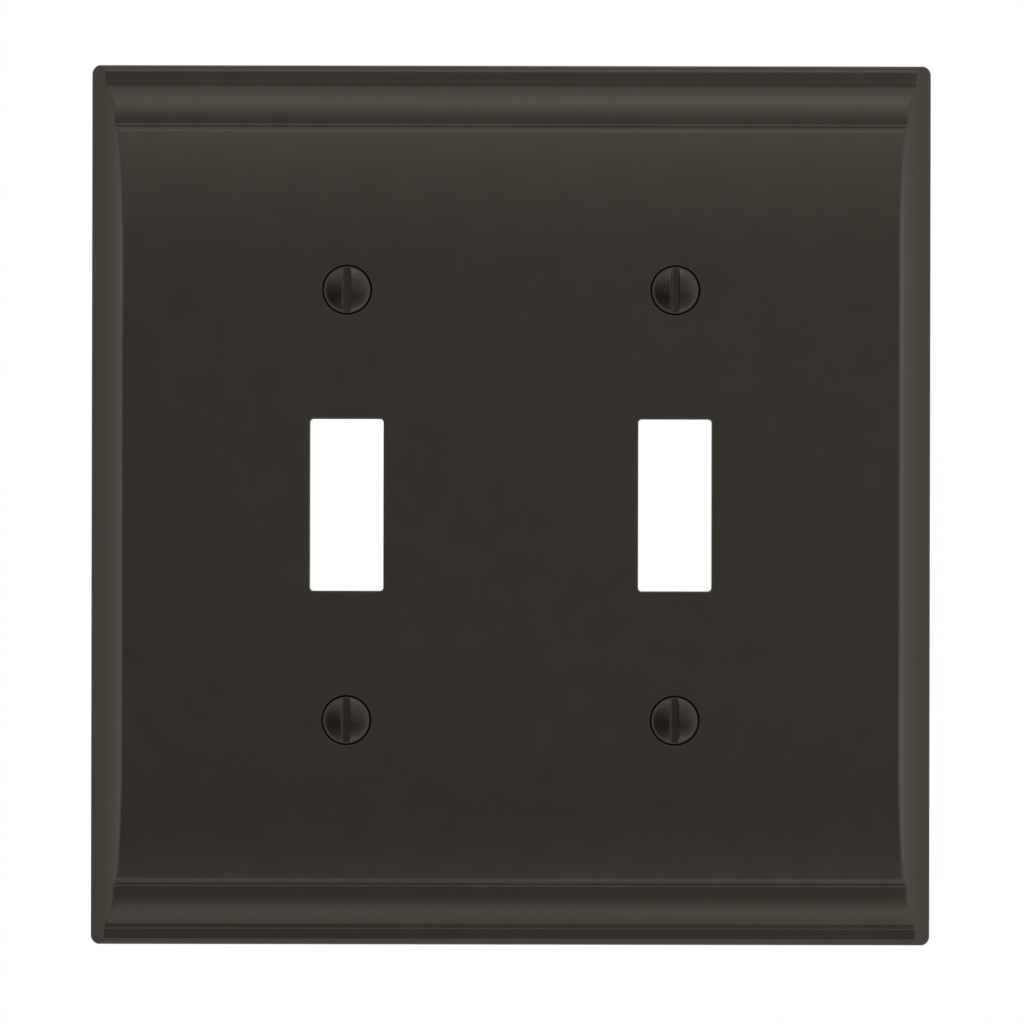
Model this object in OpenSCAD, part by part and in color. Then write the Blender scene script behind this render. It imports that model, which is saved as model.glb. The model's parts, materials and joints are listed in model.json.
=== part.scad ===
// Two-gang toggle switch wall plate, cast in one piece, with its four oval-head screws.
// The wall is the plane Y = 0 and the front of the plate faces -Y. X runs across, Z is up,
// and the origin is the centre of the plate on the wall. A rise is a height above the wall.

/* [Plate] */
// Width of the plate
plate_w = 118.2; // [112:0.1:124]
// Height of the plate
plate_h = 123.8; // [118:0.1:130]
// Rise of the middle of the panel
panel_rise = 6.4; // [6.2:0.1:7]
// Radius of the corners of the outline
corner_r = 1.25; // [0.6:0.05:2.5]
// Thickness of the cast wall
web = 1.8; // [1.6:0.05:2]
// Width of the rim that rests on the wall
rim_w = 1.8; // [1.4:0.1:2.2]

/* [Moulding above and below] */
// Rise of the outer ledge
ledge_rise = 2.95; // [2.7:0.05:3.1]
// Width of the outer ledge
ledge_w = 2.2; // [1.9:0.1:2.4]
// Radius of the outer edge of the ledge
ledge_edge_r = 1.1; // [0.3:0.05:1.2]
// Height of the fine step on each side of the ovolo
step_rise = 0.15; // [0.1:0.01:0.2]
// Width of the flat between the outer step and the ovolo
quirk_w = 0.8; // [0.5:0.05:0.9]
// Width of the ovolo
ovolo_w = 4.9; // [4.6:0.05:5.4]
// Rise of the crest of the ovolo
ovolo_rise = 4.4; // [4.2:0.05:4.5]
// Width of the flat between the crest and the inner step
crest_w = 0.4; // [0.2:0.05:0.5]
// Width of the flat between the inner step and the panel
fillet_w = 0.4; // [0.3:0.05:0.6]

/* [Panel] */
// Height of the flat middle of the panel
flat_h = 68; // [66:0.5:72]
// Width of the stronger curve next to each end of the panel
end_curve_w = 6; // [4:0.5:8]
// Slope where the two curves of the panel meet, in degrees
join_slope = 5; // [4:0.25:6]
// Slope at each end of the panel, in degrees
end_slope = 9.25; // [9:0.25:12]
// Width of the rounded edge of the panel, above and below
panel_edge_w = 0.9; // [0.8:0.05:1.1]

/* [Side coves] */
// Width of each side cove
cove_w = 4.65; // [4:0.05:5]
// Slope of the cove at the outline, in degrees
cove_low_slope = 28.8; // [25:0.1:33]
// Slope of the cove where it meets the panel, in degrees
cove_high_slope = 63.4; // [58:0.1:66]

/* [Switch openings] */
// Distance between the two gangs
gang_spacing = 46; // [45.8:0.1:46.2]
// Width of each toggle opening
toggle_w = 10.3; // [9.8:0.1:11]
// Height of each toggle opening
toggle_h = 24.1; // [23:0.1:25]
// Radius of the corners of each toggle opening
toggle_corner_r = 0.5; // [0.3:0.1:1.5]
// Thickness of the collar behind each toggle opening
collar_w = 1.3; // [1:0.1:1.6]
// How far the collar and the rib stand back from the web
collar_depth = 0.9; // [0.5:0.1:1.2]

/* [Screws] */
// Distance between the upper and lower screw of a gang
screw_spacing = 60.3; // [60:0.1:60.6]
// Length of a screw from the rim of its head to its tip
screw_length = 12.7; // [12:0.1:19]
// Radius of the rim of the screw head
head_r = 3.3; // [3.2:0.05:3.35]
// Height of the dome and its rim above the cone of the head
dome_rise = 0.9; // [0.88:0.01:1.1]
// Radius of the crown, the flatter middle of the dome
crown_w = 2.85; // [2.6:0.05:2.9]
// Slope at the edge of the crown, where the shoulder begins, in degrees
crown_slope = 16.5; // [14:0.5:18]
// Slope of the shoulder at the rim, in degrees
shoulder_slope = 44; // [40:1:50]
// Depth of the rim of the head below the panel
head_sink = 0.25; // [0.1:0.01:0.28]
// Included angle under the head and of the countersink, in degrees
head_angle = 82; // [80:1:84]
// Width of the screwdriver slot
slot_w = 1.2; // [1:0.05:1.3]
// Depth of the slot below the top of the dome, less than the fall to the rim, so its ends stay closed
slot_depth = 0.52; // [0.4:0.01:0.55]
// Major radius of the thread
thread_r = 1.753; // [1.7:0.001:1.76]
// Radius of the plain neck between head and thread
neck_r = 1.4; // [1.2:0.05:1.5]
// Radius of the countersink at the surface of the panel
sink_r = 3.6; // [3.55:0.05:3.8]
// Radius of the clearance hole
hole_r = 2.1; // [2:0.05:2.2]
// Radius of the boss around the clearance hole
boss_r = 4.4; // [4:0.1:5]
// Rise of the back face of the boss
boss_rise = 2.7; // [2.6:0.1:3.2]

/* [Hidden] */
$fn = 96;
bronze = [0.195, 0.18, 0.155];
screw_bronze = [0.16, 0.15, 0.13];
eps = 0.01;
half_w = plate_w / 2;
half_h = plate_h / 2;
gang_x = gang_spacing / 2;
screw_z = screw_spacing / 2;

// Moulding: places along Z, from the outline inwards
quirk_z = half_h - ledge_w;
ovolo_z = quirk_z - quirk_w;
crest_z = ovolo_z - ovolo_w;
fillet_z = crest_z - crest_w;
panel_z = fillet_z - fillet_w;
quirk_rise = ledge_rise + step_rise;
fillet_rise = ovolo_rise + step_rise;
ovolo_drop = ovolo_rise - quirk_rise;
ovolo_r = (ovolo_w * ovolo_w + ovolo_drop * ovolo_drop) / (2 * ovolo_drop);

// Panel: a flat, a gentle curve, a stronger one and the rounded edge, each tangent to the next
flat_z = flat_h / 2;
end_z = panel_z - panel_edge_w;
join_z = end_z - end_curve_w;
inner_r = (join_z - flat_z) / sin(join_slope);
join_rise = panel_rise - inner_r * (1 - cos(join_slope));
outer_r = end_curve_w / (sin(end_slope) - sin(join_slope));
end_rise = join_rise - outer_r * (cos(join_slope) - cos(end_slope));
foot_slope = 2 * atan((end_rise - fillet_rise) / panel_edge_w) - end_slope;
edge_r = panel_edge_w / (sin(foot_slope) - sin(end_slope));

// Cove: a cylinder outside the plate cuts it, steeper towards the panel
cove_r = cove_w / (sin(cove_high_slope) - sin(cove_low_slope));
cove_x = half_w + cove_r * sin(cove_low_slope);
cove_centre_rise = panel_rise + cove_r * cos(cove_high_slope);

// Back: the cavity follows the front at the thickness of the web
cavity_rise = panel_rise - web;
cavity_half_w = half_w - rim_w;
cavity_half_h = half_h - rim_w;
cavity_corner_r = 1;
mark_r = 2.4;
mark_depth = 0.15;
mark_x = 46;
mark_z = flat_z - mark_r - 0.2;
rib_w = 1.6;
rib_h = 54;

// Screw: places along its axis, as a rise
head_rise = panel_rise - head_sink;
cone_slope = tan(head_angle / 2);
top_rise = head_rise + dome_rise;
crown_r = crown_w / sin(crown_slope);
crown_foot = top_rise - crown_r * (1 - cos(crown_slope));
shoulder_r = (head_r - crown_w) / (sin(shoulder_slope) - sin(crown_slope));
neck_rise = head_rise - (head_r - neck_r) / cone_slope;
thread_rise = boss_rise - 0.1;
tip_rise = head_rise - screw_length;
tip_chamfer = 0.55;

// A rectangle from the wall up to a rise, between two places along the section
module bar(from, to, rise) {
    translate([from, 0])
        square([to - from, rise]);
}

// A rectangle with round corners, centred
module round_rect(w, h, r) {
    square([w - 2 * r, h], center = true);
    square([w, h - 2 * r], center = true);
    for (x = [-1, 1], z = [-1, 1])
        translate([x * (w / 2 - r), z * (h / 2 - r)])
            circle(r = r);
}

// Sections are drawn with the rise upwards: along X they run Z, along Z they run X
module extrude_across(length) {
    rotate([0, -90, 180])
        linear_extrude(height = length, center = true)
            children();
}

module extrude_upright(length) {
    rotate([180, 0, 0])
        linear_extrude(height = length, center = true)
            children();
}

// Shapes drawn on the wall are raised between two rises
module raise(from, to) {
    translate([0, -from, 0])
        rotate([90, 0, 0])
            linear_extrude(height = to - from)
                children();
}

// A solid of revolution about a screw's axis, with the rise along the axis
module on_screw_axis(x, z) {
    translate([x, 0, z])
        rotate([90, 0, 0])
            children();
}

// Upper half of the section of the panel
module panel_section() {
    bar(0, flat_z, panel_rise);
    intersection() {
        bar(flat_z, join_z, panel_rise);
        translate([flat_z, panel_rise - inner_r])
            circle(r = inner_r, $fn = 720);
    }
    intersection() {
        bar(join_z, end_z, panel_rise);
        translate([join_z - outer_r * sin(join_slope), join_rise - outer_r * cos(join_slope)])
            circle(r = outer_r, $fn = 720);
    }
    intersection() {
        bar(end_z, panel_z, panel_rise);
        translate([end_z - edge_r * sin(end_slope), end_rise - edge_r * cos(end_slope)])
            circle(r = edge_r, $fn = 360);
    }
}

// Upper half of the section of the moulding, down to the outline
module moulding_section() {
    bar(0, fillet_z - step_rise, fillet_rise);
    translate([fillet_z - step_rise, fillet_rise - step_rise])
        circle(r = step_rise, $fn = 48);
    bar(0, crest_z, ovolo_rise);
    intersection() {
        bar(crest_z, ovolo_z, ovolo_rise);
        translate([crest_z, ovolo_rise - ovolo_r])
            circle(r = ovolo_r, $fn = 360);
    }
    bar(0, quirk_z - step_rise, quirk_rise);
    translate([quirk_z - step_rise, quirk_rise - step_rise])
        circle(r = step_rise, $fn = 48);
    bar(0, half_h - ledge_edge_r, ledge_rise);
    bar(0, half_h, ledge_rise - ledge_edge_r);
    translate([half_h - ledge_edge_r, ledge_rise - ledge_edge_r])
        circle(r = ledge_edge_r);
}

module cove_section() {
    difference() {
        bar(-half_w, half_w, panel_rise);
        for (side = [-1, 1])
            translate([side * cove_x, cove_centre_rise])
                circle(r = cove_r, $fn = 180);
    }
}

// The outside of the plate before its openings
module plate_body() {
    intersection() {
        extrude_across(plate_w)
            for (half = [0, 1])
                mirror([half, 0])
                    union() {
                        panel_section();
                        moulding_section();
                    }
        extrude_upright(plate_h)
            cove_section();
        raise(0, panel_rise)
            round_rect(plate_w, plate_h, corner_r);
    }
}

// The hollow behind the plate
module cavity() {
    low = ledge_rise - web;
    roof_z = [cavity_half_h, cavity_half_h, ovolo_z - 1, crest_z, join_z, flat_z];
    roof_rise = [-1, low, low, ovolo_rise - web, join_rise - web, cavity_rise];
    last = len(roof_z) - 1;
    intersection() {
        extrude_across(plate_w)
            polygon([
                for (i = [0:last]) [roof_z[i], roof_rise[i]],
                for (i = [last:-1:0]) [-roof_z[i], roof_rise[i]]
            ]);
        extrude_upright(plate_h)
            difference() {
                translate([-cavity_half_w, -1])
                    square([2 * cavity_half_w, cavity_rise + 1]);
                for (side = [-1, 1])
                    translate([side * cove_x, cove_centre_rise])
                        circle(r = cove_r + web, $fn = 180);
            }
        raise(-1, cavity_rise)
            round_rect(2 * cavity_half_w, 2 * cavity_half_h, cavity_corner_r);
    }
}

// Shallow round marks left on the flat of the web by the ejector pins
module ejector_marks() {
    for (x = [-mark_x, 0, mark_x], z = [-mark_z, 0, mark_z])
        if (x != 0 || z != 0)
            on_screw_axis(x, z)
                translate([0, 0, cavity_rise - eps])
                    cylinder(r = mark_r, h = mark_depth + eps);
}

module screw_hole(x, z) {
    sink_depth = (sink_r - hole_r) / cone_slope;
    on_screw_axis(x, z) {
        translate([0, 0, boss_rise - 1])
            cylinder(r = hole_r, h = panel_rise - boss_rise);
        translate([0, 0, panel_rise - sink_depth])
            cylinder(r1 = hole_r, r2 = sink_r + cone_slope, h = sink_depth + 1);
    }
}

module wall_plate() {
    color(bronze)
        difference() {
            union() {
                difference() {
                    plate_body();
                    cavity();
                    ejector_marks();
                }
                for (x = [-gang_x, gang_x]) {
                    for (z = [-screw_z, screw_z])
                        on_screw_axis(x, z)
                            translate([0, 0, boss_rise])
                                cylinder(r = boss_r, h = panel_rise - 0.5 * web - boss_rise);
                    translate([x, 0, 0])
                        raise(cavity_rise - collar_depth, cavity_rise + 0.5 * web)
                            round_rect(toggle_w + 2 * collar_w, toggle_h + 2 * collar_w, toggle_corner_r + collar_w);
                }
                raise(cavity_rise - collar_depth, cavity_rise + 0.5 * web)
                    square([rib_w, rib_h], center = true);
            }
            for (x = [-gang_x, gang_x]) {
                translate([x, 0, 0])
                    raise(0, panel_rise + 1)
                        round_rect(toggle_w, toggle_h, toggle_corner_r);
                for (z = [-screw_z, screw_z])
                    screw_hole(x, z);
            }
        }
}

// Half of the section of the dome: a crown and a tighter shoulder, tangent to each other
module dome_section() {
    intersection() {
        translate([0, head_rise - eps])
            square([crown_w, dome_rise + 1]);
        translate([0, top_rise - crown_r])
            circle(r = crown_r, $fn = 360);
    }
    intersection() {
        translate([crown_w, head_rise - eps])
            square([head_r - crown_w, dome_rise + 1]);
        translate([crown_w - shoulder_r * sin(crown_slope), crown_foot - shoulder_r * cos(crown_slope)])
            circle(r = shoulder_r);
    }
}

// An oval-head slotted machine screw, driven home; its thread is a plain cylinder
module screw(x, z) {
    color(screw_bronze)
        on_screw_axis(x, z)
            difference() {
                union() {
                    rotate_extrude()
                        dome_section();
                    rotate_extrude()
                        polygon([
                            [0, tip_rise],
                            [thread_r - tip_chamfer, tip_rise],
                            [thread_r, tip_rise + tip_chamfer],
                            [thread_r, thread_rise - 0.3],
                            [neck_r, thread_rise],
                            [neck_r, neck_rise],
                            [head_r, head_rise],
                            [0, head_rise]
                        ]);
                }
                translate([-slot_w / 2, -head_r - 1, top_rise - slot_depth])
                    cube([slot_w, 2 * head_r + 2, slot_depth + 1]);
            }
}

module screw_top_left() screw(-gang_x, screw_z);
module screw_top_right() screw(gang_x, screw_z);
module screw_bottom_left() screw(-gang_x, -screw_z);
module screw_bottom_right() screw(gang_x, -screw_z);

wall_plate();
screw_top_left();
screw_top_right();
screw_bottom_left();
screw_bottom_right();
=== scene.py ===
import json
import math

import bmesh
import bpy
from mathutils import Matrix, Vector

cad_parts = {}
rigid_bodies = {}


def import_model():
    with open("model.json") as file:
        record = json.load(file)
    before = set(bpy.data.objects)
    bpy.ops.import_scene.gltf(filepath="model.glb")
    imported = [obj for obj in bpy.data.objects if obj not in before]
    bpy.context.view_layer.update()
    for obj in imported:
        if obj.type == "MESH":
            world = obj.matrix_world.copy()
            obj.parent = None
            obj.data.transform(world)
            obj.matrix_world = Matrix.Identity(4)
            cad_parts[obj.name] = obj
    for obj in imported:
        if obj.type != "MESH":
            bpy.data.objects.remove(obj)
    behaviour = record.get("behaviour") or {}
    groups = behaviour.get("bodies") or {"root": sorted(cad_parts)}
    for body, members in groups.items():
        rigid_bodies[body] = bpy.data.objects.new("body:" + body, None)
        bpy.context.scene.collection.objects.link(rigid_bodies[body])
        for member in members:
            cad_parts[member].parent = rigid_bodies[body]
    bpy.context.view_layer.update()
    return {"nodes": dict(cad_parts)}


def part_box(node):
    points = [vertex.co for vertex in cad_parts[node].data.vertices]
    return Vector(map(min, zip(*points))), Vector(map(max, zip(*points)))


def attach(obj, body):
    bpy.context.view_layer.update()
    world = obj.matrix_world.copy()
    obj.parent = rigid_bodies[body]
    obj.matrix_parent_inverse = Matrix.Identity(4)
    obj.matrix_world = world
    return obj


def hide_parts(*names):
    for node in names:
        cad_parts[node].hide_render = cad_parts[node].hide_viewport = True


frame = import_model()
scene = bpy.context.scene
mm = 0.001
print("frame loaded:", ", ".join(sorted(frame["nodes"])))


# Node trees, for shading and for geometry

def addNode(tree, kind, settings=None, sockets=None, output=0):
    # settings go in before the sockets; sockets are given by name or place, as values or wires
    node = tree.nodes.new(kind)
    for name, value in (settings or {}).items():
        if name == "stops":
            setStops(node.color_ramp, value)
        else:
            setattr(node, name, value)
    for name, value in (sockets or {}).items():
        if isinstance(value, Wire):
            tree.links.new(value.socket, node.inputs[name])
        else:
            node.inputs[name].default_value = value
    return Wire(tree, node.outputs[output]) if node.outputs else node


def setStops(ramp, stops):
    ramp.interpolation = "EASE"
    while len(ramp.elements) < len(stops):
        ramp.elements.new(0.5)
    for element, (place, colour) in zip(ramp.elements, stops):
        element.position = place
        element.color = colour


class Wire:
    # one output of a node; sums on it add Math nodes
    def __init__(self, tree, socket):
        self.tree = tree
        self.socket = socket

    def output(self, name):
        return Wire(self.tree, self.socket.node.outputs[name])

    def math(self, operation, *others):
        values = dict(enumerate((self, *others)))
        return addNode(self.tree, "ShaderNodeMath", {"operation": operation}, values)

    def swapped(self, operation, first):
        values = {0: first, 1: self}
        return addNode(self.tree, "ShaderNodeMath", {"operation": operation}, values)

    def __add__(self, other):
        return self.math("ADD", other)

    def __radd__(self, other):
        return self.math("ADD", other)

    def __sub__(self, other):
        return self.math("SUBTRACT", other)

    def __rsub__(self, other):
        return self.swapped("SUBTRACT", other)

    def __mul__(self, other):
        return self.math("MULTIPLY", other)

    def __rmul__(self, other):
        return self.math("MULTIPLY", other)

    def __truediv__(self, other):
        return self.math("DIVIDE", other)

    def __rtruediv__(self, other):
        return self.swapped("DIVIDE", other)

    def __neg__(self):
        return self.math("MULTIPLY", -1.0)

    def __abs__(self):
        return self.math("ABSOLUTE")

    def least(self, other):
        return self.math("MINIMUM", other)

    def most(self, other):
        return self.math("MAXIMUM", other)

    def root(self):
        return self.most(0.0).math("SQRT")

    def held(self, low=0.0, high=1.0):
        return self.most(low).least(high)

    def smooth(self, low, high):
        settings = {"interpolation_type": "SMOOTHSTEP"}
        sockets = {"Value": self, "From Min": low, "From Max": high}
        return addNode(self.tree, "ShaderNodeMapRange", settings, sockets)


def newGeometryTree(name, inputs):
    # inputs are (name, socket kind) pairs; the tree gets one mesh output
    tree = bpy.data.node_groups.new(name, "GeometryNodeTree")
    for label, kind in inputs:
        tree.interface.new_socket(label, in_out="INPUT", socket_type=kind)
    tree.interface.new_socket("Mesh", in_out="OUTPUT", socket_type="NodeSocketGeometry")
    start = addNode(tree, "NodeGroupInput")
    return tree, {label: start.output(label) for label, kind in inputs}


def countedGrid(tree, columns, rows):
    # a grid, with the column and the row of each of its points
    grid = addNode(tree, "GeometryNodeMeshGrid", None, {"Vertices X": columns, "Vertices Y": rows})
    index = addNode(tree, "GeometryNodeInputIndex")
    column = (index / rows).math("FLOOR")
    return grid, column, index - column * rows


def linePoint(tree, line, number):
    # the place of one point of an object made by lineObject
    info = addNode(tree, "GeometryNodeObjectInfo", None, {"Object": line})
    picked = addNode(tree, "GeometryNodeSampleIndex", {"data_type": "FLOAT_VECTOR"}, {
        "Geometry": info.output("Geometry"), "Value": addNode(tree, "GeometryNodeInputPosition"),
        "Index": number})
    return addNode(tree, "ShaderNodeSeparateXYZ", None, {"Vector": picked})


def movedGrid(tree, grid, place):
    # sends the grid's points to their places and welds those that meet
    sockets = {"Geometry": grid, "Position": place}
    moved = addNode(tree, "GeometryNodeSetPosition", None, sockets)
    sockets = {"Geometry": moved, "Distance": 0.001 * mm}
    return addNode(tree, "GeometryNodeMergeByDistance", None, sockets)


def endGeometryTree(tree, mesh, material):
    real = addNode(tree, "GeometryNodeRealizeInstances", None, {"Geometry": mesh})
    done = addNode(tree, "GeometryNodeSetMaterial", None, {"Geometry": real, "Material": material})
    addNode(tree, "NodeGroupOutput", None, {"Mesh": done})


def linkObject(name, mesh):
    made = bpy.data.objects.new(name, mesh)
    scene.collection.objects.link(made)
    return made


def runTree(name, tree, values):
    # one plain mesh object from a geometry tree and the values of its named inputs
    holder = linkObject(name + ".holder", bpy.data.meshes.new(name + ".empty"))
    modifier = holder.modifiers.new("tree", "NODES")
    modifier.node_group = tree
    for item in tree.interface.items_tree:
        if item.in_out == "INPUT":
            modifier[item.identifier] = values[item.name]
    made = linkObject(name, settledMesh(holder))
    bpy.data.objects.remove(holder)
    return made


def settledMesh(piece):
    bpy.context.view_layer.update()
    depsgraph = bpy.context.evaluated_depsgraph_get()
    return bpy.data.meshes.new_from_object(piece.evaluated_get(depsgraph), depsgraph=depsgraph)


# Outlines and solids in mesh code. A rise is a height above the wall, so Y = -rise

def arcPoints(centre, radius, fromSlope, toSlope, steps):
    # slopes are measured from straight up, leaning outwards
    points = []
    for i in range(steps + 1):
        slope = fromSlope + (toSlope - fromSlope) * i / steps
        points.append((centre[0] + radius * math.sin(slope), centre[1] + radius * math.cos(slope)))
    return points


def lineObject(name, points):
    # a row of loose points that a geometry tree reads by index
    mesh = bpy.data.meshes.new(name)
    mesh.from_pydata([Vector(point).to_3d() for point in points], [], [])
    return linkObject(name, mesh)


def circleRing(x, z, radius, rise, steps=96):
    turn = 2 * math.pi / steps
    return [Vector((x + radius * math.cos(i * turn), -rise, z + radius * math.sin(i * turn)))
            for i in range(steps)]


def framedRing(x, z, halfW, halfH, corner, rise, steps=8):
    # a rectangle with round corners, one quarter after the other
    ring = []
    for quarter in range(4):
        sideX = (1, -1, -1, 1)[quarter]
        sideZ = (1, 1, -1, -1)[quarter]
        for i in range(steps + 1):
            angle = (quarter + i / steps) * math.pi / 2
            ring.append(Vector((x + sideX * (halfW - corner) + corner * math.cos(angle), -rise,
                                z + sideZ * (halfH - corner) + corner * math.sin(angle))))
    return ring


def ringSolid(name, rings, material=None):
    # a closed solid through rings of equal length, capped at both ends
    shape = bmesh.new()
    made = [[shape.verts.new(point) for point in ring] for ring in rings]
    count = len(made[0])
    for low, high in zip(made, made[1:]):
        for i in range(count):
            j = (i + 1) % count
            shape.faces.new((low[i], low[j], high[j], high[i]))
    shape.faces.new(made[0])
    shape.faces.new(made[-1])
    bmesh.ops.recalc_face_normals(shape, faces=shape.faces)
    mesh = bpy.data.meshes.new(name)
    shape.to_mesh(mesh)
    shape.free()
    if material:
        mesh.materials.append(material)
    return linkObject(name, mesh)


def combine(piece, others, operation):
    # one exact boolean with all the others, which don't touch each other and are used up
    shape = bmesh.new()
    for other in others:
        shape.from_mesh(other.data)
    joined = linkObject("joined", others[0].data.copy())
    shape.to_mesh(joined.data)
    shape.free()
    modifier = piece.modifiers.new("combine", "BOOLEAN")
    modifier.operation = operation
    modifier.solver = "EXACT"
    modifier.material_mode = "TRANSFER"
    modifier.object = joined
    mesh = settledMesh(piece)
    piece.modifiers.clear()
    piece.data = mesh
    for other in (*others, joined):
        bpy.data.objects.remove(other)


def settleShading(piece, sharpAngle=24):
    # welds what the booleans left, marks the true edges and weights the normals by area
    shape = bmesh.new()
    shape.from_mesh(piece.data)
    bmesh.ops.remove_doubles(shape, verts=shape.verts, dist=0.0005 * mm)
    bmesh.ops.dissolve_degenerate(shape, edges=shape.edges, dist=0.0005 * mm)
    limit = math.radians(sharpAngle)
    for face in shape.faces:
        face.smooth = True
    for edge in shape.edges:
        edge.smooth = len(edge.link_faces) == 2 and edge.calc_face_angle(0) < limit
    shape.to_mesh(piece.data)
    shape.free()
    # the modifier passes over faces as small as these, so it works on the piece a thousand times up
    piece.data.transform(Matrix.Scale(1 / mm, 4))
    weighted = piece.modifiers.new("weighted", "WEIGHTED_NORMAL")
    weighted.keep_sharp = True
    weighted.weight = 50
    piece.data = settledMesh(piece)
    piece.modifiers.clear()
    piece.data.transform(Matrix.Scale(mm, 4))


# Materials

def newMaterial(name):
    material = bpy.data.materials.new(name)
    material.use_nodes = True
    tree = material.node_tree
    tree.nodes.clear()
    return material, tree, addNode(tree, "ShaderNodeTexCoord").output("Object")


def endMaterial(tree, sockets):
    shader = addNode(tree, "ShaderNodeBsdfPrincipled", None, sockets)
    addNode(tree, "ShaderNodeOutputMaterial", None, {"Surface": shader})


def noise(tree, place, scale, detail=3.0, roughness=0.5):
    # scale is in patches to the metre
    sockets = {"Vector": place, "Scale": scale, "Detail": detail, "Roughness": roughness}
    return addNode(tree, "ShaderNodeTexNoise", None, sockets)


def mixColour(tree, factor, first, second):
    # sockets 6 and 7 are the two colours
    sockets = {"Factor": factor, 6: first, 7: second}
    return addNode(tree, "ShaderNodeMix", {"data_type": "RGBA"}, sockets, output=2)


bronze = {
    "light": (0.0690, 0.0606, 0.0495),
    "dark": (0.0650, 0.0571, 0.0465),
    "shade": 1.0,            # multiplies both colours
    "roughness": 0.38,
    "mottleSpread": 0.03,    # how much the roughness changes over the mottle
    "grainSpread": 0.04,
    "mottle": 260.0,         # soft patches in the lacquer
    "peel": 1500.0,          # faint orange peel
    "grain": 9000.0,         # the finest texture of the satin lacquer
    "bump": 0.06,
    "bumpHeight": 0.02 * mm,
}
screwLook = {**bronze, "shade": 0.85, "roughness": 0.24}
castLook = {**bronze, "shade": 1.1, "roughness": 0.55, "grain": 4000.0}


def makeBronze(name, look):
    material, tree, place = newMaterial(name)
    mottle = noise(tree, place, look["mottle"], 4.0, 0.55)
    grain = noise(tree, place, look["grain"], 2.0, 0.6)
    peel = noise(tree, place, look["peel"], 1.0, 0.4)
    blotch = (mottle * 0.75 + grain * 0.25).smooth(0.3, 0.7)
    light = (*(look["shade"] * c for c in look["light"]), 1.0)
    dark = (*(look["shade"] * c for c in look["dark"]), 1.0)
    endMaterial(tree, {
        "Base Color": mixColour(tree, blotch, dark, light),
        "Roughness": (look["roughness"] + (mottle - 0.5) * look["mottleSpread"]
                      + (grain - 0.5) * look["grainSpread"]),
        "Normal": addNode(tree, "ShaderNodeBump", None, {
            "Strength": look["bump"], "Distance": look["bumpHeight"],
            "Height": peel * 0.7 + grain * 0.3}),
        "Metallic": 1.0})
    return material


plateBronze = makeBronze("plateBronze", bronze)
screwBronze = makeBronze("screwBronze", screwLook)
castBack = makeBronze("castBack", castLook)
print("materials made")


# Wall plate: a cast sheet with coves up the sides and a moulded section top and bottom

plateLow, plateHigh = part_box("wall_plate")
plate = {
    "halfW": plateHigh.x,
    "halfH": plateHigh.z,
    "rise": -plateLow.y,
    "corner": 1.25 * mm,          # radius of the outline's corners
    "sideEdge": 0.3 * mm,         # rounding of the outline up the sides
    "roundedW": 0.36 * mm,        # width of the rounding where the cove meets panel and moulding
    "coveW": 4.65 * mm,
    "coveLow": math.radians(28.8),     # slope at the outline
    "coveHigh": math.radians(63.4),    # slope at the panel
    "coveCap": 0.6 * mm,          # how far the cove may run on above the panel
    "coveBand": 5.2 * mm,         # this much of each side has closely set columns
    "coveColumns": 56,
    "ledgeRise": 2.95 * mm,
    "ledgeW": 2.2 * mm,
    "ledgeEdge": 1.1 * mm,
    "step": 0.15 * mm,
    "stepW": 0.3 * mm,
    "topStep": 0.02 * mm,         # along the top, lacquer has filled the outer step
    "quirkW": 0.8 * mm,           # groove between ledge and ovolo
    "ovoloW": 4.9 * mm,
    "ovoloRise": 4.4 * mm,
    "crestW": 0.4 * mm,           # flat top of the ovolo
    "filletW": 0.4 * mm,          # flat strip at the foot of the panel's edge
    "flatHalf": 34 * mm,          # half the height of the flat middle of the panel
    "endCurveW": 6 * mm,          # the panel curves more over its last stretch
    "joinSlope": math.radians(5),
    "endSlope": math.radians(9.25),
    "edgeW": 0.9 * mm,            # and turns over within this width
}
plate["coveR"] = plate["coveW"] / (math.sin(plate["coveHigh"]) - math.sin(plate["coveLow"]))
plate["coveX"] = plate["halfW"] + plate["coveR"] * math.sin(plate["coveLow"])
plate["coveRise"] = plate["rise"] + plate["coveR"] * math.cos(plate["coveHigh"])

hollow = {
    "web": 1.8 * mm,
    "rim": 1.8 * mm,
    "corner": 1.0 * mm,
    "edge": 0.1 * mm,
    "crestW": 1.6 * mm,
    "coveBand": 6.2 * mm,
    "coveColumns": 24,
    "bendW": 7.4 * mm,            # the roof bends down this far short of the ovolo
    "bend": 0.55 * mm,
    "ledgeReach": 1 * mm,         # the low part of the roof runs in this far under the ovolo
    "eased": 6,                   # rounds of easing
    "foot": -1.0 * mm,            # the cutter starts behind the wall
}


def stepPoints(place, rise, step, width):
    # a small rounded step that comes down to this rise at this place
    slope = 2 * math.atan(step / width)
    radius = width / math.sin(slope)
    return arcPoints((place - width, rise + step - radius), radius, 0, slope, 6)


def slopedArc(startX, startRise, radius, fromSlope, toSlope, steps):
    # an arc that starts at this point, which the line before it already holds
    centre = (startX - radius * math.sin(fromSlope), startRise - radius * math.cos(fromSlope))
    return arcPoints(centre, radius, fromSlope, toSlope, steps)[1:]


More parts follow.
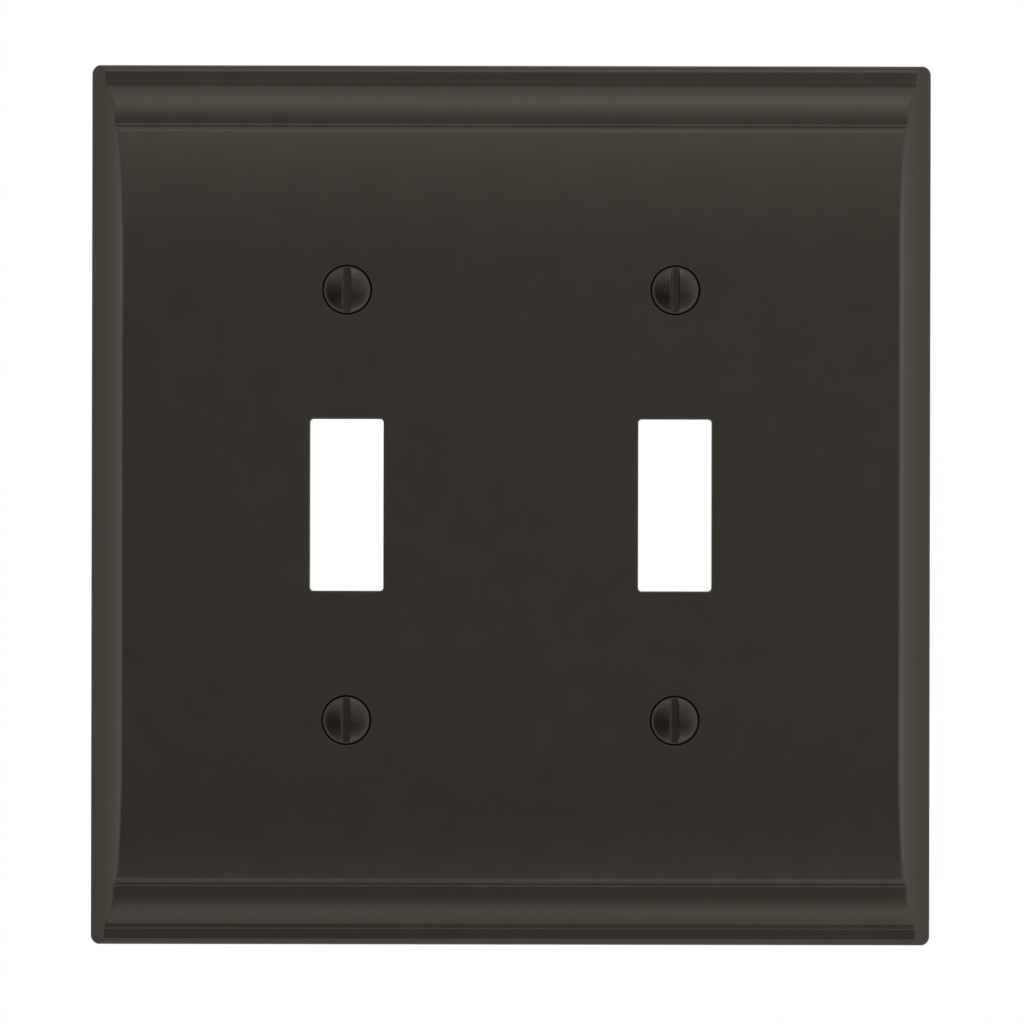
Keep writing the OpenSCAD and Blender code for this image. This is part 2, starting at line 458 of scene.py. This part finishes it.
def mouldingLine(p, outerStep):
    # half of the front's section, from the middle out to the outline, as (place, rise)
    quirk = p["halfH"] - p["ledgeW"]
    ovolo = quirk - p["quirkW"]
    crest = ovolo - p["ovoloW"]
    fillet = crest - p["crestW"]
    panel = fillet - p["filletW"]
    end = panel - p["edgeW"]
    join = end - p["endCurveW"]
    joinSlope = p["joinSlope"]
    endSlope = p["endSlope"]

    # the panel falls away from its flat middle on two arcs, then turns over its edge
    innerR = (join - p["flatHalf"]) / math.sin(joinSlope)
    joinRise = p["rise"] - innerR * (1 - math.cos(joinSlope))
    outerR = p["endCurveW"] / (math.sin(endSlope) - math.sin(joinSlope))
    endRise = joinRise - outerR * (math.cos(joinSlope) - math.cos(endSlope))
    footSlope = 2 * math.atan((endRise - p["ovoloRise"] - p["step"]) / p["edgeW"]) - endSlope
    edgeR = p["edgeW"] / (math.sin(footSlope) - math.sin(endSlope))
    line = [(p["flatHalf"] * i / 8, p["rise"]) for i in range(8)]
    line += arcPoints((p["flatHalf"], p["rise"] - innerR), innerR, 0, joinSlope, 14)
    line += slopedArc(join, joinRise, outerR, joinSlope, endSlope, 10)
    line += slopedArc(end, endRise, edgeR, endSlope, footSlope, 9)

    # then fillet and step, ovolo, quirk and step, and the ledge with its rounded edge
    drop = p["ovoloRise"] - p["ledgeRise"] - outerStep
    ovoloR = (p["ovoloW"] ** 2 + drop ** 2) / (2 * drop)
    ovoloSlope = math.asin(p["ovoloW"] / ovoloR)
    edge = p["ledgeEdge"]
    line += stepPoints(fillet, p["ovoloRise"], p["step"], p["stepW"])
    line += arcPoints((crest, p["ovoloRise"] - ovoloR), ovoloR, 0, ovoloSlope, 20)
    line += stepPoints(quirk, p["ledgeRise"], outerStep, p["stepW"])
    line += arcPoints((p["halfH"] - edge, p["ledgeRise"] - edge), edge, 0, math.pi / 2, 12)
    return line


def cavityLine(p, h):
    # the same for the roof of the hollow behind, with its bends eased
    top = p["rise"] - h["web"]
    low = p["ledgeRise"] - h["web"]
    ovolo = p["halfH"] - p["ledgeW"] - p["quirkW"]
    crest = ovolo - p["ovoloW"]
    knots = [(0, top), (p["flatHalf"], top), (crest - h["bendW"], top - h["bend"]),
             (crest, p["ovoloRise"] - h["web"]), (ovolo - h["ledgeReach"], low),
             (p["halfH"] - h["rim"], low)]
    line = []
    for (fromPlace, fromRise), (toPlace, toRise) in zip(knots, knots[1:]):
        for i in range(12):
            share = i / 12
            line.append((fromPlace + (toPlace - fromPlace) * share,
                         fromRise + (toRise - fromRise) * share))
    line.append(knots[-1])
    return easedLine(line, h["eased"])


def easedLine(line, rounds):
    # averages the rises of neighbours, so that the bends of a casting come out soft
    rises = [rise for place, rise in line]
    for i in range(rounds):
        middle = [(a + 2 * b + c) / 4 for a, b, c in zip(rises, rises[1:], rises[2:])]
        rises = [rises[0], *middle, rises[-1]]
    return [(place, rise) for (place, oldRise), rise in zip(line, rises)]


def bothHalves(upper, lower, foot):
    # from the bottom edge to the top edge, with the foot of the outer wall at each end
    end = upper[-1][0]
    mirrored = [(-place, rise) for place, rise in reversed(lower)]
    return [(-end, foot), *mirrored, *upper[1:], (end, foot)]


def acrossPlaces(halfW, edge, fine, cove):
    # places across the plate: dense over the rounded edge and the cove, sparse over the panel
    half = [halfW - edge * (1 - math.cos(math.pi / 2 * i / 6)) for i in range(7)]
    half += [halfW - edge - (cove - edge) * (i + 1) / fine for i in range(fine)]
    inner = half[-1]
    half += [inner * (1 - (i + 1) / 9) for i in range(8)]
    right = [halfW, *half]
    return [*(-place for place in right), 0.0, *reversed(right)]


def makeSheetTree():
    # a sheet whose rise is the lower of a cove across X and a section along Z, blended between
    tree, given = newGeometryTree("castSheet", [
        ("Across", "NodeSocketObject"), ("Upright", "NodeSocketObject"),
        ("Columns", "NodeSocketInt"), ("Rows", "NodeSocketInt"),
        ("Half Width", "NodeSocketFloat"), ("Half Height", "NodeSocketFloat"),
        ("Corner Radius", "NodeSocketFloat"), ("Edge Radius", "NodeSocketFloat"),
        ("Cove Radius", "NodeSocketFloat"), ("Cove X", "NodeSocketFloat"),
        ("Cove Rise", "NodeSocketFloat"), ("Highest", "NodeSocketFloat"),
        ("Crest Width", "NodeSocketFloat"), ("Foot", "NodeSocketFloat"),
        ("Material", "NodeSocketMaterial"),
    ])
    grid, column, row = countedGrid(tree, given["Columns"], given["Rows"])

    place = linePoint(tree, given["Across"], column).output("X")
    section = linePoint(tree, given["Upright"], row)
    upright = section.output("X")
    sectionRise = section.output("Y")

    # rows near the top and bottom draw in to follow the round corners of the outline
    corner = given["Corner Radius"]
    past = (abs(upright) - given["Half Height"] + corner).most(0.0)
    inset = corner - (corner * corner - past * past).root()
    reach = corner * 3.0
    share = ((abs(place) - given["Half Width"] + reach) / reach).held()
    side = place.math("SIGN")
    across = place - side * inset * share

    offCentre = given["Cove X"] - abs(across)
    fall = (given["Cove Radius"] * given["Cove Radius"] - offCentre * offCentre).root()
    coveRise = (given["Cove Rise"] - fall).least(given["Highest"])

    # the outline of the cove is rounded over, all round its two corners
    edge = given["Edge Radius"]
    outX = abs(across) - given["Half Width"] + corner
    outZ = abs(upright) - given["Half Height"] + corner
    beyondX = outX.most(0.0)
    beyondZ = outZ.most(0.0)
    depth = corner - (beyondX * beyondX + beyondZ * beyondZ).root() - outX.most(outZ).least(0.0)
    inner = (edge - depth.most(0.0)).most(0.0)
    coveRise = coveRise - edge + (edge * edge - inner * inner).root()

    # where the two meet, the crest is rounded over much the same width however steep the cove is
    blend = given["Crest Width"] * 0.5 * (offCentre / fall.most(1 * mm)).least(2.0)
    near = (blend - abs(coveRise - sectionRise)).most(0.0) / blend
    rounded = coveRise.least(sectionRise) - near * near * blend * 0.25

    # the outermost points drop to the foot of the outer wall
    first = column.math("GREATER_THAN", 0.5)
    last = column.math("LESS_THAN", given["Columns"] - 1.5)
    rowFirst = row.math("GREATER_THAN", 0.5)
    rowLast = row.math("LESS_THAN", given["Rows"] - 1.5)
    within = first * last * rowFirst * rowLast
    rise = (rounded - given["Foot"]).most(0.0) * within + given["Foot"]
    spot = addNode(tree, "ShaderNodeCombineXYZ", None, {"X": across, "Y": -rise, "Z": upright})
    endGeometryTree(tree, movedGrid(tree, grid, spot), given["Material"])
    return tree


def closedSheet(name, tree, across, upright, values):
    # runs the tree over two lines of points, then closes the back with one flat face
    acrossLine = lineObject(name + ".across", [(place, 0.0) for place in across])
    uprightLine = lineObject(name + ".upright", upright)
    sheet = runTree(name, tree, {
        "Across": acrossLine, "Upright": uprightLine,
        "Columns": len(across), "Rows": len(upright), **values})
    for line in (acrossLine, uprightLine):
        bpy.data.objects.remove(line)
    shape = bmesh.new()
    shape.from_mesh(sheet.data)
    bmesh.ops.dissolve_degenerate(shape, edges=shape.edges, dist=0.001 * mm)
    rim = [edge for edge in shape.edges if edge.is_boundary]
    bmesh.ops.contextual_create(shape, geom=rim)
    bmesh.ops.recalc_face_normals(shape, faces=shape.faces)
    shape.to_mesh(sheet.data)
    shape.free()
    return sheet


def makePlateBody(p, h):
    tree = makeSheetTree()
    outer = closedSheet(
        "wallPlate", tree,
        acrossPlaces(p["halfW"], p["sideEdge"], p["coveColumns"], p["coveBand"]),
        bothHalves(mouldingLine(p, p["topStep"]), mouldingLine(p, p["step"]), 0.0), {
            "Half Width": p["halfW"], "Half Height": p["halfH"],
            "Corner Radius": p["corner"], "Edge Radius": p["sideEdge"],
            "Cove Radius": p["coveR"], "Cove X": p["coveX"], "Cove Rise": p["coveRise"],
            "Highest": p["rise"] + p["coveCap"], "Crest Width": p["roundedW"],
            "Foot": 0.0, "Material": plateBronze})
    halfW = p["halfW"] - h["rim"]
    cutter = closedSheet(
        "hollow", tree, acrossPlaces(halfW, h["edge"], h["coveColumns"], h["coveBand"]),
        bothHalves(cavityLine(p, h), cavityLine(p, h), h["foot"]), {
            "Half Width": halfW, "Half Height": p["halfH"] - h["rim"],
            "Corner Radius": h["corner"], "Edge Radius": h["edge"],
            "Cove Radius": p["coveR"] + h["web"], "Cove X": p["coveX"], "Cove Rise": p["coveRise"],
            "Highest": p["rise"], "Crest Width": h["crestW"],
            "Foot": h["foot"], "Material": castBack})
    combine(outer, [cutter], "DIFFERENCE")
    return outer


wallPlate = makePlateBody(plate, hollow)
print("plate body:", len(wallPlate.data.polygons), "faces")

fittings = {
    "gangX": (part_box("screw_top_right")[0].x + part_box("screw_top_right")[1].x) / 2,
    "screwZ": (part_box("screw_top_right")[0].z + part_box("screw_top_right")[1].z) / 2,
    "toggleHalfW": 5.15 * mm,
    "toggleHalfH": 12.05 * mm,
    "toggleCorner": 0.5 * mm,
    "toggleLip": 0.2 * mm,      # rounding of the opening's front and back edges
    "collarW": 1.3 * mm,
    "standing": 0.9 * mm,       # how far collars and rib stand back from the web
    "root": 0.45 * mm,          # fillet where a cast feature leaves the web
    "edge": 0.2 * mm,           # and the rounding of its free edge
    "draft": 0.05 * mm,
    "bossR": 4.4 * mm,
    "bossRise": 2.7 * mm,
    "holeR": 2.1 * mm,
    "holeFlare": 0.3 * mm,
    "sinkR": 3.56 * mm,
    "sinkLip": 0.06 * mm,
    "coneSlope": math.tan(math.radians(41)),
    "ribHalfW": 0.8 * mm,
    "ribHalfH": 27 * mm,
    "markX": 46 * mm,           # marks of the ejector pins
    "markZ": 31.4 * mm,
    "markR": 2.4 * mm,
    "markDepth": 0.15 * mm,
}


def framedAt(x, z, halfW, halfH, corner):
    # a function that gives this frame, grown by an offset, at a rise
    return lambda grow, rise: framedRing(x, z, halfW + grow, halfH + grow, corner + grow, rise)


def circleAt(x, z, radius):
    return lambda grow, rise: circleRing(x, z, radius + grow, rise)


def standingRings(ringAt, roof, back, f):
    # rings of a cast feature that stands back from the web: soft root, slight draft, soft edge
    root = f["root"]
    edge = f["edge"]
    rings = [ringAt(root, roof + 0.5 * mm)]
    for i in range(7):
        slope = math.pi / 2 * i / 6
        rings.append(ringAt(root * (1 - math.sin(slope)), roof - root * (1 - math.cos(slope))))
    for i in range(6):
        slope = math.pi / 2 * i / 5
        rings.append(ringAt(-f["draft"] - edge * (1 - math.cos(slope)),
                            back + edge * (1 - math.sin(slope))))
    return rings


def throughRings(ringAt, front, back, lip):
    # rings of a cutter right through, flared to round over the edge of the front and of the back
    rings = [ringAt(lip * 1.5, back - 1 * mm), ringAt(lip * 1.5, back - 0.1 * lip)]
    slopes = [math.radians(80) * i / 6 for i in range(7)]
    for slope in reversed(slopes):
        rings.append(ringAt(lip * (1 - math.cos(slope)), back + lip * (1 - math.sin(slope))))
    for slope in slopes:
        rings.append(ringAt(lip * (1 - math.cos(slope)), front - lip * (1 - math.sin(slope))))
    return rings + [ringAt(lip * 1.5, front + 0.1 * lip), ringAt(lip * 1.5, front + 1 * mm)]


def sinkSection(p, f):
    # a cutter for one countersunk hole, from behind the boss to clear of the front
    lip = f["sinkLip"]
    coneFoot = p["rise"] - (f["sinkR"] - f["holeR"]) / f["coneSlope"]
    flared = f["holeR"] + f["holeFlare"]
    return [
        (flared, f["bossRise"] - 1 * mm),
        (flared, f["bossRise"]),
        (f["holeR"], f["bossRise"] + f["holeFlare"]),
        (f["holeR"], coneFoot),
        (f["sinkR"] - lip * 0.9, p["rise"] - lip),
        (f["sinkR"] - lip * 0.3, p["rise"] - lip * 0.4),
        (f["sinkR"] + lip * 0.4, p["rise"] - lip * 0.05),
        (f["sinkR"] + lip * 1.4, p["rise"] + lip * 0.2),
        (f["sinkR"] + lip * 1.4, p["rise"] + 1 * mm),
    ]


def addFittings(piece, p, h, f):
    roof = p["rise"] - h["web"]
    back = roof - f["standing"]
    halfW = f["toggleHalfW"]
    halfH = f["toggleHalfH"]
    corner = f["toggleCorner"]
    collarW = f["collarW"]
    standing = []
    cutters = []
    for x in (-f["gangX"], f["gangX"]):
        collarAt = framedAt(x, 0, halfW + collarW, halfH + collarW, corner + collarW)
        standing.append(ringSolid("collar", standingRings(collarAt, roof, back, f), castBack))
        toggleAt = framedAt(x, 0, halfW, halfH, corner)
        opening = throughRings(toggleAt, p["rise"], back, f["toggleLip"])
        cutters.append(ringSolid("toggleCutter", opening, plateBronze))
        for z in (-f["screwZ"], f["screwZ"]):
            bossAt = circleAt(x, z, f["bossR"])
            boss = standingRings(bossAt, roof, f["bossRise"], f)
            standing.append(ringSolid("boss", boss, castBack))
            sink = [circleRing(x, z, radius, rise) for radius, rise in sinkSection(p, f)]
            cutters.append(ringSolid("screwCutter", sink, plateBronze))

    def ribAt(grow, rise):
        # its ends are very nearly half round
        ribHalfW = f["ribHalfW"] + grow
        return framedRing(0, 0, ribHalfW, f["ribHalfH"] + grow, ribHalfW * 0.95, rise)

    standing.append(ringSolid("rib", standingRings(ribAt, roof, back, f), castBack))
    marks = []
    for x in (-f["markX"], 0.0, f["markX"]):
        for z in (-f["markZ"], 0.0, f["markZ"]):
            if x or z:    # the rib stands in the middle
                mark = [circleRing(x, z, f["markR"], rise, 48)
                        for rise in (roof - 2 * mm, roof + f["markDepth"])]
                marks.append(ringSolid("mark", mark, castBack))
    combine(piece, standing, "UNION")
    combine(piece, cutters, "DIFFERENCE")
    combine(piece, marks, "DIFFERENCE")


addFittings(wallPlate, plate, hollow, fittings)
settleShading(wallPlate)
print("wall plate:", len(wallPlate.data.polygons), "faces")
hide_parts("wall_plate")
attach(wallPlate, "plate")


# Screws: turned and threaded by one geometry tree, then slotted

screw = {
    "headR": 3.3 * mm,
    "rimRound": 0.06 * mm,
    "underRimW": 0.03 * mm,     # small chamfer between the rim and the cone under the head
    "underRim": 0.05 * mm,
    "dome": 0.9 * mm,
    "crownW": 2.85 * mm,        # radius of the flatter crown, inside the shoulder
    "crownSlope": math.radians(16.5),
    "shoulderSlope": math.radians(44),
    "sink": 0.25 * mm,          # how far the rim lies below the panel
    "neckR": 1.4 * mm,
    "threadR": 1.753 * mm,
    "pitch": 0.794 * mm,
    "threadDepth": 0.47 * mm,
    "threadFlat": 1.35,         # above 1, the thread's crest and root come out flat
    "threadStart": 2.6 * mm,    # rise where the thread begins
    "length": 12.7 * mm,
    "chamfer": 0.55 * mm,
    "rowsPerPitch": 14,
    "around": 64,
    "slotHalf": 0.6 * mm,
    "slotDepth": 0.52 * mm,
    "slotLip": 0.05 * mm,
    "slotBevel": 0.08 * mm,     # the left lip is eased by a narrow bevel
    "bevelSlope": math.tan(math.radians(27)),
    "slotRoot": 0.22 * mm,
}
screw["headRise"] = plate["rise"] - screw["sink"]
screw["topRise"] = screw["headRise"] + screw["dome"]
screw["crownR"] = screw["crownW"] / math.sin(screw["crownSlope"])
screw["crownFoot"] = screw["topRise"] - screw["crownR"] * (1 - math.cos(screw["crownSlope"]))
screw["shoulderR"] = (screw["headR"] - screw["crownW"]) / (
    math.sin(screw["shoulderSlope"]) - math.sin(screw["crownSlope"]))
screw["tipRise"] = screw["headRise"] - screw["length"]


def domeRise(s, radius):
    # one arc for the crown and a tighter one, tangent to it, for the shoulder
    if radius <= s["crownW"]:
        return s["topRise"] - s["crownR"] + math.sqrt(s["crownR"] ** 2 - radius ** 2)
    shoulderR = s["shoulderR"]
    aside = radius - s["crownW"] + shoulderR * math.sin(s["crownSlope"])
    up = math.sqrt(max(shoulderR ** 2 - aside ** 2, 0.0))
    return s["crownFoot"] - (shoulderR * math.cos(s["crownSlope"]) - up)


def screwSection(s):
    # (radius, rise, share of the thread), from the top of the dome down to the tip
    flat = s["headR"] - s["rimRound"]
    shoulderW = flat - s["crownW"]
    radii = [s["crownW"] * i / 14 for i in range(14)]
    radii += [s["crownW"] + shoulderW * i / 14 for i in range(15)]
    section = [(radius, domeRise(s, radius), 0.0) for radius in radii]

    # the rounded rim, the cone under the head and the neck
    rim = domeRise(s, flat)
    coneTop = s["headRise"]
    coneR = s["headR"] - s["underRimW"]
    coneFoot = coneTop - (coneR - s["neckR"]) / fittings["coneSlope"]
    section += [(s["headR"] - 0.02 * mm, rim - 0.04 * mm, 0.0), (s["headR"], rim - 0.08 * mm, 0.0),
                (s["headR"], coneTop + s["underRim"], 0.0), (coneR, coneTop, 0.0)]
    section += [(coneR * (1 - i / 8) + s["neckR"] * i / 8,
                 coneTop + (coneFoot - coneTop) * i / 8, 0.0) for i in range(1, 9)]
    section.append((s["neckR"], s["threadStart"] + 0.2 * mm, 0.0))

    # the thread grows out of the neck over its first turn and ends in the tip's chamfer
    step = s["pitch"] / s["rowsPerPitch"]
    rise = s["threadStart"]
    while rise > s["tipRise"] + s["chamfer"]:
        share = min((s["threadStart"] - rise) / (0.7 * s["pitch"]), 1.0)
        radius = s["neckR"] + (s["threadR"] - s["neckR"]) * share
        section.append((radius, rise, share))
        rise -= step
    for i in range(8):
        share = 1 - i / 7
        section.append((s["threadR"] - s["chamfer"] * (1 - share),
                        s["tipRise"] + s["chamfer"] * share, share))
    section.append((0.0, s["tipRise"], 0.0))
    return section


def makeScrewTree():
    # turns the section round the screw's axis and pulls the thread's groove in along a helix
    tree, given = newGeometryTree("turnedScrew", [
        ("Section", "NodeSocketObject"),
        ("Rows", "NodeSocketInt"), ("Steps Around", "NodeSocketInt"),
        ("Pitch", "NodeSocketFloat"), ("Thread Depth", "NodeSocketFloat"),
        ("Thread Flat", "NodeSocketFloat"),
        ("Centre X", "NodeSocketFloat"), ("Centre Z", "NodeSocketFloat"),
        ("Material", "NodeSocketMaterial"),
    ])
    grid, column, row = countedGrid(tree, given["Steps Around"] + 1, given["Rows"])
    section = linePoint(tree, given["Section"], row)
    share = section.output("Z")
    turn = column / given["Steps Around"]
    angle = turn * (2 * math.pi)
    phase = (section.output("Y") / given["Pitch"] - turn) * (2 * math.pi)
    crest = (phase.math("COSINE") * given["Thread Flat"]).held(-1.0, 1.0) * 0.5 + 0.5
    radius = section.output("X") - given["Thread Depth"] * share * (1.0 - crest)
    x = given["Centre X"] + radius * angle.math("COSINE")
    z = given["Centre Z"] + radius * angle.math("SINE")
    place = addNode(tree, "ShaderNodeCombineXYZ", None, {"X": x, "Y": -section.output("Y"), "Z": z})
    endGeometryTree(tree, movedGrid(tree, grid, place), given["Material"])
    return tree


def slotRings(s, x, z):
    # the slot's own section, swept down the head; its lips follow the dome
    half = s["slotHalf"]
    lip = s["slotLip"]
    root = s["slotRoot"]
    bevel = s["slotBevel"]
    bevelRise = bevel * s["bevelSlope"]
    bottom = s["topRise"] - s["slotDepth"]
    wallFoot = bottom + root
    clear = s["topRise"] + 1 * mm
    roots = [math.pi / 2 * i / 6 for i in range(7)]
    rootLine = [(half - root + root * math.sin(slope), wallFoot - root * math.cos(slope))
                for slope in roots]
    lipSlopes = [math.radians(75) * i / 5 for i in range(6)]
    rings = []
    for i in range(49):
        along = s["headR"] * 1.1 * (i / 24 - 1)
        top = domeRise(s, min(math.hypot(along, half), s["headR"]))
        lipFoot = max(top - lip, wallFoot)
        rounded = [(half + lip * (1 - math.cos(slope)), lipFoot + lip * math.sin(slope))
                   for slope in lipSlopes]
        lipEnd = half + lip * 1.3
        lipTop = max(top, wallFoot + lip) + lip * 0.25
        right = [*rootLine, *rounded, (lipEnd, lipTop), (lipEnd, clear)]
        bevelFoot = max(lipFoot - bevelRise, wallFoot)
        sloped = [(half + bevel * i / 4, bevelFoot + bevelRise * i / 4) for i in range(5)]
        bevelEnd = half + bevel * 1.5
        left = [*rootLine, *sloped, (bevelEnd, bevelFoot + bevelRise * 1.5), (bevelEnd, clear)]
        ring = right + [(-across, rise) for across, rise in reversed(left)]
        rings.append([Vector((x + across, -rise, z + along)) for across, rise in ring])
    return rings


def makeScrew(name, node, tree):
    low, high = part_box(node)
    x, z = (low.x + high.x) / 2, (low.z + high.z) / 2
    section = screwSection(screw)
    line = lineObject(name + ".section", section)
    piece = runTree(name, tree, {
        "Section": line, "Rows": len(section), "Steps Around": screw["around"],
        "Pitch": screw["pitch"], "Thread Depth": screw["threadDepth"],
        "Thread Flat": screw["threadFlat"],
        "Centre X": x, "Centre Z": z, "Material": screwBronze})
    bpy.data.objects.remove(line)
    shape = bmesh.new()
    shape.from_mesh(piece.data)
    bmesh.ops.dissolve_degenerate(shape, edges=shape.edges, dist=0.001 * mm)
    bmesh.ops.recalc_face_normals(shape, faces=shape.faces)
    shape.to_mesh(piece.data)
    shape.free()
    combine(piece, [ringSolid("slotCutter", slotRings(screw, x, z), screwBronze)], "DIFFERENCE")
    settleShading(piece)
    print(name + ":", len(piece.data.polygons), "faces")
    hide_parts(node)
    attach(piece, node)


screwTree = makeScrewTree()
makeScrew("screwTopLeft", "screw_top_left", screwTree)
makeScrew("screwTopRight", "screw_top_right", screwTree)
makeScrew("screwBottomLeft", "screw_bottom_left", screwTree)
makeScrew("screwBottomRight", "screw_bottom_right", screwTree)


# Studio: a pale floor in a white surround, darker round the camera, with a soft light above it

studio = {
    "floorZ": -0.5,
    "floorHalf": 0.4,
    # brightness in front of the plate, by elevation in degrees
    "front": [(-90, 0.65), (-62, 0.65), (-49, 1.55), (-36, 1.25), (-24, 0.35), (-7, 0.185),
              (5, 0.50), (16, 0.56), (26, 1.00), (40, 0.99), (56, 0.90), (90, 0.85)],
    # and beside it, by how far round it lies
    "beside": [(0, 1.10), (30, 1.10), (45, 1.15), (62, 0.84), (82, 0.82), (100, 0.92),
               (180, 0.95)],
    "besideAcross": (-30.0, 30.0),   # the side light grows a little from left to right
    "left": 0.92,
    "right": 1.07,
    "unevenAcross": (-22.0, 18.0),   # and so does the front light, by this much of its strength
    "uneven": 0.74,
    "unevenLeft": 0.39,              # taken off at the left end
    "unevenFades": (6.0, 24.0),      # it evens out between these elevations
    "frontCentre": -7.0,
    "frontFades": (26.0, 50.0),      # the front gives way to the sides this far off its centre
    "behindFades": (0.4, 0.9),
    "softbox": {"place": (0.12, -1.15, 0.95), "size": (0.6, 0.4), "power": 1.0},
}


def makeFloor(s):
    mesh = bpy.data.meshes.new("floor")
    half = s["floorHalf"]
    z = s["floorZ"]
    corners = [(-half, -half, z), (half, -half, z), (half, half, z), (-half, half, z)]
    mesh.from_pydata(corners, [], [(0, 1, 2, 3)])
    floor = linkObject("floor", mesh)
    material, tree, place = newMaterial("paleFloor")
    tint = noise(tree, place, 6.0, 2.0)
    colour = mixColour(tree, tint, (0.84, 0.84, 0.84, 1.0), (0.88, 0.88, 0.88, 1.0))
    endMaterial(tree, {"Base Color": colour, "Roughness": 0.8})
    mesh.materials.append(material)


def levelBy(tree, angle, low, high, levels):
    # a brightness that eases through the given (angle, level) pairs
    span = high - low
    stops = [((at - low) / span, (level, level, level, 1.0)) for at, level in levels]
    ramp = addNode(tree, "ShaderNodeValToRGB", {"stops": stops}, {0: (angle - low) / span})
    return addNode(tree, "ShaderNodeSeparateColor", None, {"Color": ramp})


def makeWorld(s):
    world = bpy.data.worlds.new("studio")
    scene.world = world
    world.use_nodes = True
    tree = world.node_tree
    tree.nodes.clear()
    toward = addNode(tree, "ShaderNodeTexCoord").output("Generated")
    part = addNode(tree, "ShaderNodeSeparateXYZ", None, {"Vector": toward})
    facing = -part.output("Y")
    degrees = 180 / math.pi
    elevation = part.output("Z").math("ARCTAN2", facing.most(0.001)) * degrees
    sideways = part.output("X").math("ARCTAN2", facing) * degrees

    uneven = sideways.smooth(*s["unevenAcross"]) * s["uneven"] - s["unevenLeft"]
    front = levelBy(tree, elevation, -90.0, 90.0, s["front"])
    front = front * (1.0 + uneven * (1.0 - elevation.smooth(*s["unevenFades"])))

    beside = levelBy(tree, abs(sideways), 0.0, 180.0, s["beside"])
    growth = sideways.smooth(*s["besideAcross"])
    beside = beside * (growth * (s["right"] - s["left"]) + s["left"])

    # the front gives way to the sides, and all of it to plain white behind the plate
    aside = abs(sideways - s["frontCentre"]).smooth(*s["frontFades"])
    level = front + (beside - front) * aside
    level = level + (1.0 - level) * part.output("Y").smooth(*s["behindFades"])
    light = addNode(tree, "ShaderNodeBackground", None, {"Color": (1, 1, 1, 1), "Strength": level})
    addNode(tree, "ShaderNodeOutputWorld", None, {"Surface": light})


def makeLight(name, place, size, power):
    # a rectangle of light turned towards the plate
    data = bpy.data.lights.new(name, "AREA")
    data.shape = "RECTANGLE"
    data.size, data.size_y = size
    data.energy = power
    light = linkObject(name, data)
    light.location = place
    light.rotation_mode = "QUATERNION"
    light.rotation_quaternion = (-Vector(place)).to_track_quat("-Z", "Y")


view = {
    "lens": 200,
    "sensor": 36,
    "seen": 144.22 * mm,     # width of the view, at this rise above the wall
    "seenRise": 2 * mm,
    "x": 0.17 * mm,
    "z": -0.95 * mm,
    "roll": math.radians(-0.11),
}


def makeCamera(v):
    data = bpy.data.cameras.new("camera")
    data.lens = v["lens"]
    data.sensor_width = v["sensor"]
    data.clip_start = 0.05
    data.clip_end = 50
    camera = linkObject("camera", data)
    distance = v["seen"] * data.lens / data.sensor_width
    camera.location = (v["x"], -distance - v["seenRise"], v["z"])
    camera.rotation_euler = (math.pi / 2, v["roll"], 0)
    scene.camera = camera


makeFloor(studio)
makeWorld(studio)
makeLight("softbox", **studio["softbox"])
makeCamera(view)
scene.view_settings.view_transform = "Standard"
print("studio set")
